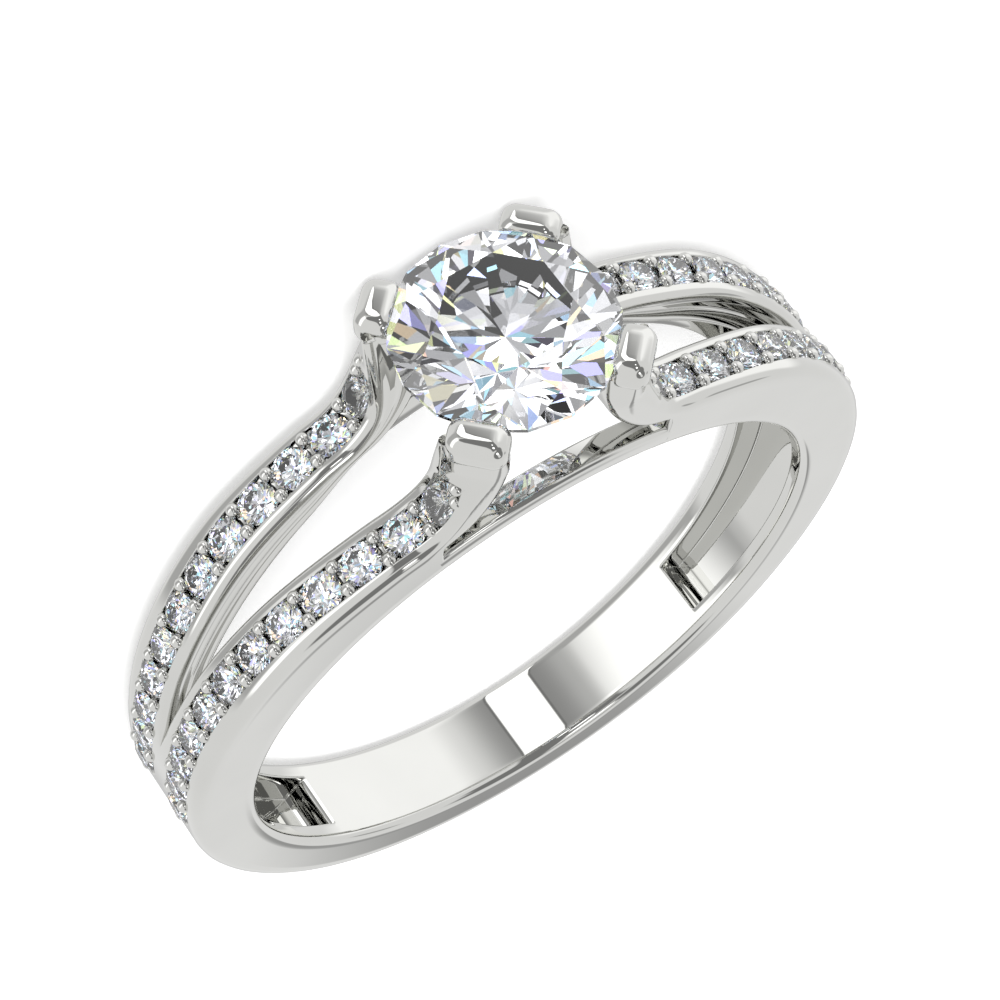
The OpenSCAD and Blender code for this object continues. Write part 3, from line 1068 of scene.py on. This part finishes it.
def add_node(tree: bpy.types.NodeTree, kind: str, settings: dict[str | int, object] | None = None,
             links: dict[str | int, Socket] | None = None) -> bpy.types.Node:
    """Adds a node of a kind to a tree and fills it in."""
    return fill(tree.nodes.new(kind), settings, links)


def new_material(name: str) -> tuple[bpy.types.Material, bpy.types.Node]:
    """Makes a material with nodes.

    Args:
        name: Its name.

    Returns:
        The material and its main node.
    """
    mat = bpy.data.materials.new(name)
    mat.use_nodes = True
    return mat, mat.node_tree.nodes["Principled BSDF"]


@dataclass(frozen=True)
class PolishedWhiteGold:
    """Rhodium-plated white gold, cast and mirror polished on a buff."""

    name: str = "polished_white_gold"
    colour: str = "#D9D9D6"
    worn: str = "#D2D2CF"
    roughness: float = 0.02
    swims_per_mm: float = 0.5
    hairlines_per_mm: float = 6.5

    def make(self) -> bpy.types.Material:
        """Mirror metal with hairlines and the soft swim of a buffed surface.

        The hairlines are about 0.02 mm apart and are drawn some 0.15 mm wide so that they show at
        all. The swim is a faint unevenness about 2 mm long.

        Returns:
            The material.
        """
        mat, main_node = new_material(self.name)
        tree = mat.node_tree
        place = {"Vector": add_node(tree, "ShaderNodeTexCoord").outputs["Object"]}
        broad = add_node(tree, "ShaderNodeTexNoise", {"Scale": self.swims_per_mm / MM, "Detail": 2.0}, place)
        fine = add_node(tree, "ShaderNodeTexNoise",
                        {"Scale": self.hairlines_per_mm / MM, "Detail": 3.0}, place)
        tone = add_node(tree, "ShaderNodeMix",
                        {"data_type": "RGBA", 6: linear(self.colour), 7: linear(self.worn)},
                        {"Factor": broad.outputs["Fac"]})
        rough = add_node(tree, "ShaderNodeMapRange",
                         {"To Min": self.roughness * 0.6, "To Max": self.roughness * 1.6},
                         {"Value": fine.outputs["Fac"]})
        bump = add_node(tree, "ShaderNodeBump", {"Strength": 0.02, "Distance": 0.02 * MM},
                        {"Height": broad.outputs["Fac"]})
        surface = {"Base Color": tone.outputs[2], "Roughness": rough.outputs["Result"],
                   "Normal": bump.outputs["Normal"]}
        fill(main_node, {"Metallic": 1.0}, surface)
        return mat


@dataclass(frozen=True)
class CutDiamond:
    """Colourless diamond, cut and polished, with a very faint tint from place to place."""

    name: str
    tints_per_mm: float
    colour: str = "#FFFFFF"
    warm: str = "#F4F6FF"
    index: float = 2.417

    def make(self) -> bpy.types.Material:
        """Clear stone that bends light by diamond's refractive index.

        Returns:
            The material.
        """
        mat, main_node = new_material(self.name)
        tree = mat.node_tree
        noise = add_node(tree, "ShaderNodeTexNoise", {"Scale": self.tints_per_mm / MM},
                         {"Vector": add_node(tree, "ShaderNodeTexCoord").outputs["Object"]})
        tint = add_node(tree, "ShaderNodeMix",
                        {"data_type": "RGBA", 6: linear(self.colour), 7: linear(self.warm)},
                        {"Factor": noise.outputs["Fac"]})
        fill(main_node, {"Transmission Weight": 1.0, "IOR": self.index, "Roughness": 0.0},
             {"Base Color": tint.outputs[2]})
        return mat


# Pieces


class Slot(Enum):
    """Material slots of the record."""

    METAL = "white_gold"
    CENTRE = "centre_diamond"
    PAVE = "pave_diamond"


def finish_piece(piece: bpy.types.Object, mat: bpy.types.Material, node: str) -> None:
    """Gives a piece its finish and its body, and hides the solid that it stands for.

    Args:
        piece: Piece to finish.
        mat: Its material.
        node: Node of the solid model that it replaces.
    """
    piece.data.materials.append(mat)
    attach(piece, "root")
    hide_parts(node)
    LOG.info("%s: %d faces", piece.name, len(piece.data.polygons))


@dataclass
class Shank:
    """All of the metal: hoop, branches, bars and prong heads in one piece, and the grains in another."""

    branch: Branch = field(default_factory=Branch)
    bar: BridgeBar = field(default_factory=BridgeBar)
    head: ProngHead = field(default_factory=ProngHead)
    grains: Grains = field(default_factory=Grains)

    @staticmethod
    def piece(name: str, parts: Sequence[tuple[Array, Array]]) -> bpy.types.Object:
        """Repeats quarter parts round the ring, welds each and joins them in one smooth piece.

        Args:
            name: Name of the piece.
            parts: Points and quads of each quarter part.

        Returns:
            The piece, with its shading weighted by face area so that flats stay flat.
        """
        all_p, all_f, base = [], [], 0
        for points, quads in parts:
            p, f = weld(*mirrored(points, quads))
            all_p.append(p)
            all_f += [[v + base for v in face] for face in f]
            base += len(p)
        piece = mesh_object(name, np.vstack(all_p), all_f, True)
        shade = piece.modifiers.new("weighted", "WEIGHTED_NORMAL")
        shade.mode = "FACE_AREA"
        shade.weight = 50
        return piece

    def build(self) -> list[bpy.types.Object]:
        """Builds the polished shank and its grains.

        Returns:
            The two pieces.
        """
        body = [self.branch.build(), self.bar.build(), self.head.build()]
        return [self.piece("polished_shank", body), self.piece("grains", [self.grains.build()])]

    def dress(self, finish: PolishedWhiteGold) -> None:
        """Builds the metal and polishes it.

        Args:
            finish: Finish that both pieces share.
        """
        gold = finish.make()
        for piece in self.build():
            finish_piece(piece, gold, "shank")


@dataclass(frozen=True)
class BrilliantCut:
    """Proportions of a round brilliant with all of its facets, as shares of the stone's radius."""

    table: float = SIZES.table_share
    crown_a: float = SIZES.crown_a
    pavilion_a: float = SIZES.pavilion_a
    star: float = 0.5
    star_draw: float = 0.985
    lower: float = 0.2

    def build(self, radius: float, girdle: float) -> tuple[Array, list[list[int]]]:
        """Places the facets' corners so that mains, stars and girdle facets are flat.

        A main facet's plane falls from the table's corner to the girdle at the crown angle, and
        its side corners lie on that plane at 22.5 degrees, which fixes their height.

        Args:
            radius: Girdle radius in millimetres.
            girdle: Girdle thickness in millimetres.

        Returns:
            Points with z nought at the girdle's lower edge, and faces that turn left from outside.
        """
        tc, tp = math.tan(math.radians(self.crown_a)), math.tan(math.radians(self.pavilion_a))
        side = math.cos(math.pi / 8)
        rt = radius * self.table
        zt = girdle + (radius - rt) * tc
        rs = (rt + self.star * (radius - rt)) / side * self.star_draw
        rl = radius * self.lower / side
        # Rings of corners: table, stars, both edges of the girdle, and where the lower halves meet
        rings = ((8, 0.0, rt, zt), (8, 22.5, rs, zt - (rs * side - rt) * tc), (16, 0.0, radius, girdle),
                 (16, 0.0, radius, 0.0), (8, 22.5, rl, (rl * side - radius) * tp))
        corners = [np.c_[r * polar(start + np.arange(n) * 360 / n), np.full(n, h)]
                   for n, start, r, h in rings]
        pts = np.vstack([*corners, [[0, 0, -radius * tp]]])
        star, edge, under, low, culet = 8, 16, 32, 48, 56
        faces: list[list[int]] = [list(range(8))]
        for i in range(8):
            j, k = (i + 1) % 8, (i - 1) % 8
            g, h, g2 = edge + 2 * i, edge + 2 * i + 1, edge + 2 * j
            u, w, u2 = g - edge + under, h - edge + under, g2 - edge + under
            faces += [[i, star + i, j], [i, star + k, g, star + i], [star + i, g, h], [star + i, h, g2]]
            faces += [[g, u, w, h], [h, w, u2, g2]]
            faces += [[u, low + i, w], [w, low + i, u2], [u, low + k, culet, low + i]]
        return pts, faces


def spin_about_axis(a: float) -> Array:
    """Turn (3, 3) by an angle in radians about a stone's own axis."""
    return np.array([[math.cos(a), -math.sin(a), 0], [math.sin(a), math.cos(a), 0], [0, 0, 1]])


@dataclass(frozen=True)
class CentreDiamond:
    """The round brilliant between the four prongs, turned so that a main facet faces a prong."""

    cut: BrilliantCut = BrilliantCut()
    turn: float = math.radians(22.5)

    def build(self) -> bpy.types.Object:
        """Builds the stone in its seat.

        Returns:
            The stone as one piece.
        """
        pts, faces = self.cut.build(SIZES.stone_r, SIZES.girdle_t)
        pts = pts @ spin_about_axis(self.turn).T + [0, 0, SIZES.girdle_z]
        return mesh_object("centre_diamond", pts, faces, False)

    def dress(self, finish: CutDiamond) -> None:
        """Builds the stone and gives it its finish."""
        finish_piece(self.build(), finish.make(), "centre_stone")


@dataclass(frozen=True)
class PaveRow:
    """One row of small brilliants. The signs sx and sy choose the branch."""

    place: str
    sx: int
    sy: int
    cut: BrilliantCut = BrilliantCut()
    girdle: float = 0.03
    turn_step: float = 0.37
    side_change: float = 0.3
    face_change: float = 0.5

    def build(self) -> bpy.types.Object:
        """Repeats one brilliant along the row, each a little turned on its own axis.

        Returns:
            The row as one piece.
        """
        z = SIZES
        pts, faces = self.cut.build(z.pave_r, self.girdle)
        c, n = seat_axes()
        all_p, all_f = [], []
        for k in range(len(STONE_S)):
            a = self.turn_step * k * (1 + self.side_change * self.sx) + self.face_change * self.sy
            up = np.array([self.sx * n[k, 0], 0, n[k, 1]])
            fore = np.array([n[k, 1], 0, -self.sx * n[k, 0]])
            turn = np.stack([fore, np.cross(up, fore), up])
            place = np.array([self.sx * c[k, 0], self.sy * float(z.row_y(c[k, 1])), c[k, 1]])
            all_p.append(pts @ spin_about_axis(a).T @ turn + place)
            all_f += [[v + k * len(pts) for v in face] for face in faces]
        return mesh_object(f"pave_diamonds_{self.place}", np.vstack(all_p), all_f, False)

    def dress(self, mat: bpy.types.Material) -> None:
        """Builds the row and gives it the finish that all rows share."""
        finish_piece(self.build(), mat, f"pave_{self.place}")


# Studio


def direction(az: float, el: float) -> Array:
    """Unit vector of an azimuth, nought towards +Y and growing towards +X, and an elevation."""
    a, e = math.radians(az), math.radians(el)
    return np.array([math.sin(a) * math.cos(e), math.cos(a) * math.cos(e), math.sin(e)])


def stand(piece: bpy.types.Object, axes: Array, place: Array) -> None:
    """Links a camera or lamp to the scene and puts it in its place.

    Args:
        piece: Camera or lamp.
        axes: (3, 3) turn whose columns are its axes.
        place: Its place in metres.
    """
    whole = np.eye(4)
    whole[:3, :3], whole[:3, 3] = axes, place
    bpy.context.scene.collection.objects.link(piece)
    piece.matrix_world = Matrix(whole.tolist())


@dataclass(frozen=True)
class SkySums:
    """Small sums on the direction looked along, in the world's node tree."""

    tree: bpy.types.NodeTree
    place: Socket

    def along(self, way: Array) -> Socket:
        """Part of the direction that lies along a vector."""
        return add_node(self.tree, "ShaderNodeVectorMath", {"operation": "DOT_PRODUCT", 1: way.tolist()},
                        {0: self.place}).outputs["Value"]

    def ramp(self, value: Socket, none: float, whole: float) -> Socket:
        """Smooth step from nought at the first value to one at the second."""
        return add_node(self.tree, "ShaderNodeMapRange",
                        {"interpolation_type": "SMOOTHSTEP", "From Min": none, "From Max": whole},
                        {"Value": value}).outputs["Result"]

    def maths(self, kind: str, one: Socket, two: Socket | float = 0.0) -> Socket:
        """One sum of a Math node.

        Args:
            kind: Operation of the node.
            one: First value.
            two: Second value, a socket or a number.

        Returns:
            The result's socket.
        """
        feeds = {0: one, 1: two} if isinstance(two, Socket) else {0: one}
        settings = {"operation": kind} if isinstance(two, Socket) else {"operation": kind, 1: two}
        return add_node(self.tree, "ShaderNodeMath", settings, feeds).outputs[0]

    def lay(self, under: Socket, level: float, mask: Socket) -> Socket:
        """Lays a level over the tent where the mask is one."""
        return add_node(self.tree, "ShaderNodeMix", {"data_type": "FLOAT", 3: level},
                        {"Factor": mask, 2: under}).outputs[0]


@dataclass(frozen=True)
class Spot:
    """Round patch of the tent: whole within the inner angle and gone past the outer one."""

    level: float
    az: float
    el: float
    inner: float
    outer: float

    def mask(self, sky: SkySums) -> Socket:
        """Ramp on the part of the direction that lies along the patch's middle."""
        none, whole = math.cos(math.radians(self.outer)), math.cos(math.radians(self.inner))
        return sky.ramp(sky.along(direction(self.az, self.el)), none, whole)


@dataclass(frozen=True)
class Panel:
    """Four-sided patch, given by half its width and half its height in degrees, and its soft edge."""

    level: float
    az: float
    el: float
    wide: float
    high: float
    soft: float

    def mask(self, sky: SkySums) -> Socket:
        """Ramps across the patch and up it, kept to the half of the tent that it is in.

        Args:
            sky: Sums of the world's tree.

        Returns:
            Socket that is one on the patch.
        """
        front, side = direction(self.az, self.el), direction(self.az + 90, 0)
        masks = [sky.ramp(sky.maths("ABSOLUTE", sky.along(way)), math.sin(math.radians(reach + self.soft)),
                          math.sin(math.radians(reach)))
                 for way, reach in ((side, self.wide), (np.cross(side, front), self.high))]
        facing = sky.maths("GREATER_THAN", sky.along(front), 0.0)
        return sky.maths("MULTIPLY", sky.maths("MULTIPLY", *masks), facing)


@dataclass(frozen=True)
class Strip:
    """Strip across the top of the tent, given by its side's azimuth and half its width in degrees."""

    level: float
    side_az: float
    half: float
    soft: float
    inner: float
    outer: float

    def mask(self, sky: SkySums) -> Socket:
        """Ramp across the strip times the round end that it is cut to.

        Args:
            sky: Sums of the world's tree.

        Returns:
            Socket that is one on the strip.
        """
        off = sky.maths("ABSOLUTE", sky.along(direction(self.side_az, 0)))
        whole = math.sin(math.radians(self.half))
        across = sky.ramp(off, math.sin(math.radians(self.half + self.soft)), whole)
        return sky.maths("MULTIPLY", across, Spot(self.level, 0, 90, self.inner, self.outer).mask(sky))


# Tent from its first layer to its last
TENT: tuple[Spot | Panel | Strip, ...] = (
    # Soft greys: low behind the ring, small in front of the far side, and up at the left
    Spot(0.62, -18, -30, 10, 35),
    Spot(0.40, -14, 15.5, 1, 6.5),
    Spot(0.50, -63, 42, 4, 9),
    # Soft boxes beside the ring, the grey under the right one, and a grey below the camera
    Panel(1.32, -112, -14, 26, 16, 14),
    Panel(1.70, 122, -14, 30, 11, 7),
    Panel(0.55, 122, -42, 32, 14, 10),
    Spot(0.36, -178, -20, 7, 26),
    # Dark flags overhead with a light strip between them, and the flag over the camera
    Spot(0.03, 0, 90, 24.495, 32.86),
    Spot(0.02, -150, 60, 13, 22),
    Strip(1.00, 75, 5.5, 2.5, 19.091, 22.332),
    Panel(0.03, 173, 26, 19, 24, 5),
    # Bright window below the camera in a thin grey frame
    Panel(0.22, -176.5, -24, 9.2, 21.7, 0.8),
    Panel(1.90, -176.5, -24, 8.2, 20.7, 0.8),
    # Small bright lamps that give the heads their lights
    Spot(3.00, 168, 36, 5, 6),
    Spot(3.00, 176, 17, 2.5, 3.5),
    Spot(2.50, 160, 77, 6, 8),
)


@dataclass(frozen=True)
class Fire:
    """Small lights and darks, some of them pastel, in what is seen through the stones.

    They stand in for the spread of colours of a cut diamond. Each cell of the tent has three
    chance values: the first gives the hue, the second how strong it is, the third its light.
    Blues run up to violet, and hues past the jump move on to orange and yellow.
    """

    scale: float = 6.0
    tinted: tuple[float, float] = (0.45, 0.75)
    strength: float = 0.5
    light: tuple[float, float] = (0.7, 2.2)
    dark: tuple[float, float] = (0.1, 0.24)
    dark_level: float = 0.06
    hues: tuple[float, float] = (0.5, 0.95)
    jump_from: float = 0.5
    jump: float = 0.3

    def colour(self, sky: SkySums, through: Socket) -> Socket:
        """Colour that multiplies the tent. Metal and floor see plain white.

        Args:
            sky: Sums of the world's tree.
            through: One for a ray that has passed through a stone.

        Returns:
            The colour's socket.
        """
        tree = sky.tree
        cells = add_node(tree, "ShaderNodeTexVoronoi", {"Scale": self.scale}, {"Vector": sky.place})
        split = add_node(tree, "ShaderNodeSeparateColor", links={"Color": cells.outputs["Color"]})

        def spread(channel: int, start: tuple[float, float], end: tuple[float, float]) -> Socket:
            """Takes one chance value from its start range to its end range."""
            return add_node(tree, "ShaderNodeMapRange", {"From Min": start[0], "From Max": start[1],
                                                         "To Min": end[0], "To Max": end[1]},
                            {"Value": split.outputs[channel]}).outputs["Result"]

        jump = sky.maths("GREATER_THAN", split.outputs[0], self.jump_from)
        hue = sky.maths("ADD", sky.maths("MULTIPLY", jump, self.jump), spread(0, (0.0, 1.0), self.hues))
        strong = spread(1, self.tinted, (0.0, self.strength))
        level = sky.maths("MULTIPLY", spread(2, (0.0, 1.0), self.light),
                          spread(2, self.dark, (self.dark_level, 1.0)))
        tint = add_node(tree, "ShaderNodeCombineColor", {"mode": "HSV"},
                        {0: sky.maths("FRACT", hue), 1: strong, 2: level})
        return add_node(tree, "ShaderNodeMix", {"data_type": "RGBA", 6: WHITE},
                        {"Factor": through, 7: tint.outputs[0]}).outputs[2]


@dataclass(frozen=True)
class Studio:
    """White sweep, soft tent and camera at the photograph's angle.

    The camera's place is in millimetres and its directions are unit vectors, both in the ring's
    upright frame, where they were worked out from the photograph's perspective.
    """

    lens: float = 104.29
    sensor: float = 36.0
    where: tuple[float, float, float] = (-19.741, -29.4337, 67.9231)
    right: tuple[float, float, float] = (0.835471, -0.549522, 0.003758)
    down: tuple[float, float, float] = (-0.477217, -0.728897, -0.490891)
    forward: tuple[float, float, float] = (0.272494, 0.408332, -0.871213)
    base: float = 0.93
    fire: Fire = Fire()
    fire_least: float = 0.45
    deep_least: float = 0.25
    floor_half: float = 3.0
    floor_glow: float = 0.3
    lamp_at: tuple[float, float, float] = (0.10, -0.25, 0.40)
    lamp_size: float = 0.30
    lamp_power: float = 1.0

    def camera(self) -> None:
        """Sets the camera from its place and its three directions."""
        data = bpy.data.cameras.new("camera")
        data.lens, data.sensor_width = self.lens, self.sensor
        data.clip_start, data.clip_end = 0.002, 10.0
        cam = bpy.data.objects.new("camera", data)
        axes = np.stack([self.right, -np.array(self.down), -np.array(self.forward)], 1)
        stand(cam, lay_turn() @ axes, laid(np.array(self.where)))
        bpy.context.scene.camera = cam

    def sky(self) -> None:
        """Tent of soft boxes and dark flags that the metal and the stones mirror.

        Light that has passed through a stone, or bounced more than once, keeps a least level. The
        camera itself sees plain white in place of the tent.
        """
        world = bpy.data.worlds.new("tent")
        bpy.context.scene.world = world
        world.use_nodes = True
        tree = world.node_tree
        sky = SkySums(tree, add_node(tree, "ShaderNodeTexCoord").outputs["Generated"])
        ray = add_node(tree, "ShaderNodeLightPath").outputs
        bare = add_node(tree, "ShaderNodeValue").outputs[0]
        bare.default_value = self.base
        tone = bare
        for patch in TENT:
            tone = sky.lay(tone, patch.level, patch.mask(sky))
        seen = sky.maths("MULTIPLY", ray["Is Transmission Ray"], self.fire_least)
        deep = sky.maths("MULTIPLY", sky.maths("GREATER_THAN", ray["Ray Depth"], 1.5), self.deep_least)
        tone = sky.maths("MAXIMUM", tone, sky.maths("MAXIMUM", seen, deep))
        fill(tree.nodes["Background"], links={"Color": self.fire.colour(sky, ray["Is Transmission Ray"]),
                                              "Strength": sky.lay(tone, 1.0, ray["Is Camera Ray"])})

    def floor(self, z: float) -> None:
        """White matt sweep under the ring, which the metal and the stones don't mirror.

        Args:
            z: Height of the floor in metres.
        """
        mesh = bpy.data.meshes.new("floor")
        r = self.floor_half
        mesh.from_pydata([(-r, -r, z), (r, -r, z), (r, r, z), (-r, r, z)], [], [(0, 1, 2, 3)])
        piece = bpy.data.objects.new("floor", mesh)
        bpy.context.scene.collection.objects.link(piece)
        mat, main_node = new_material("white_sweep")
        fill(main_node, {"Base Color": WHITE, "Roughness": 1.0, "Specular IOR Level": 0.0,
                         "Emission Color": WHITE, "Emission Strength": self.floor_glow})
        mesh.materials.append(mat)
        piece.visible_glossy = piece.visible_transmission = False

    def lamp(self) -> None:
        """Soft lamp on the stone's side that lights the floor. The metal and the stones don't mirror it."""
        data = bpy.data.lights.new("key", "AREA")
        data.shape, data.size, data.energy = "DISK", self.lamp_size, self.lamp_power
        lamp = bpy.data.objects.new("key", data)
        lamp.visible_glossy = lamp.visible_transmission = False
        back = np.array(self.lamp_at) / np.linalg.norm(self.lamp_at)
        side = np.cross([0, 0, 1], back)
        side /= np.linalg.norm(side)
        stand(lamp, np.stack([side, np.cross(back, side), back], 1), np.array(self.lamp_at))


def main() -> None:
    """Builds and dresses the ring piece by piece, then sets the studio round it."""
    logging.basicConfig(level=logging.INFO)
    Shank().dress(PolishedWhiteGold())
    CentreDiamond().dress(CutDiamond("centre_diamond_cut", 0.3))
    small = CutDiamond("pave_diamond_cut", 0.9).make()
    for side, sx in (("left", -1), ("right", 1)):
        for face, sy in (("front", -1), ("back", 1)):
            PaveRow(f"{face}_{side}", sx, sy).dress(small)
    studio = Studio()
    studio.camera()
    studio.sky()
    studio.floor(float(CAD_BOX[0][2]))
    studio.lamp()
    view = bpy.context.scene.view_settings
    view.view_transform = "Standard"
    view.look = "None"


if __name__ == "__main__":
    main()
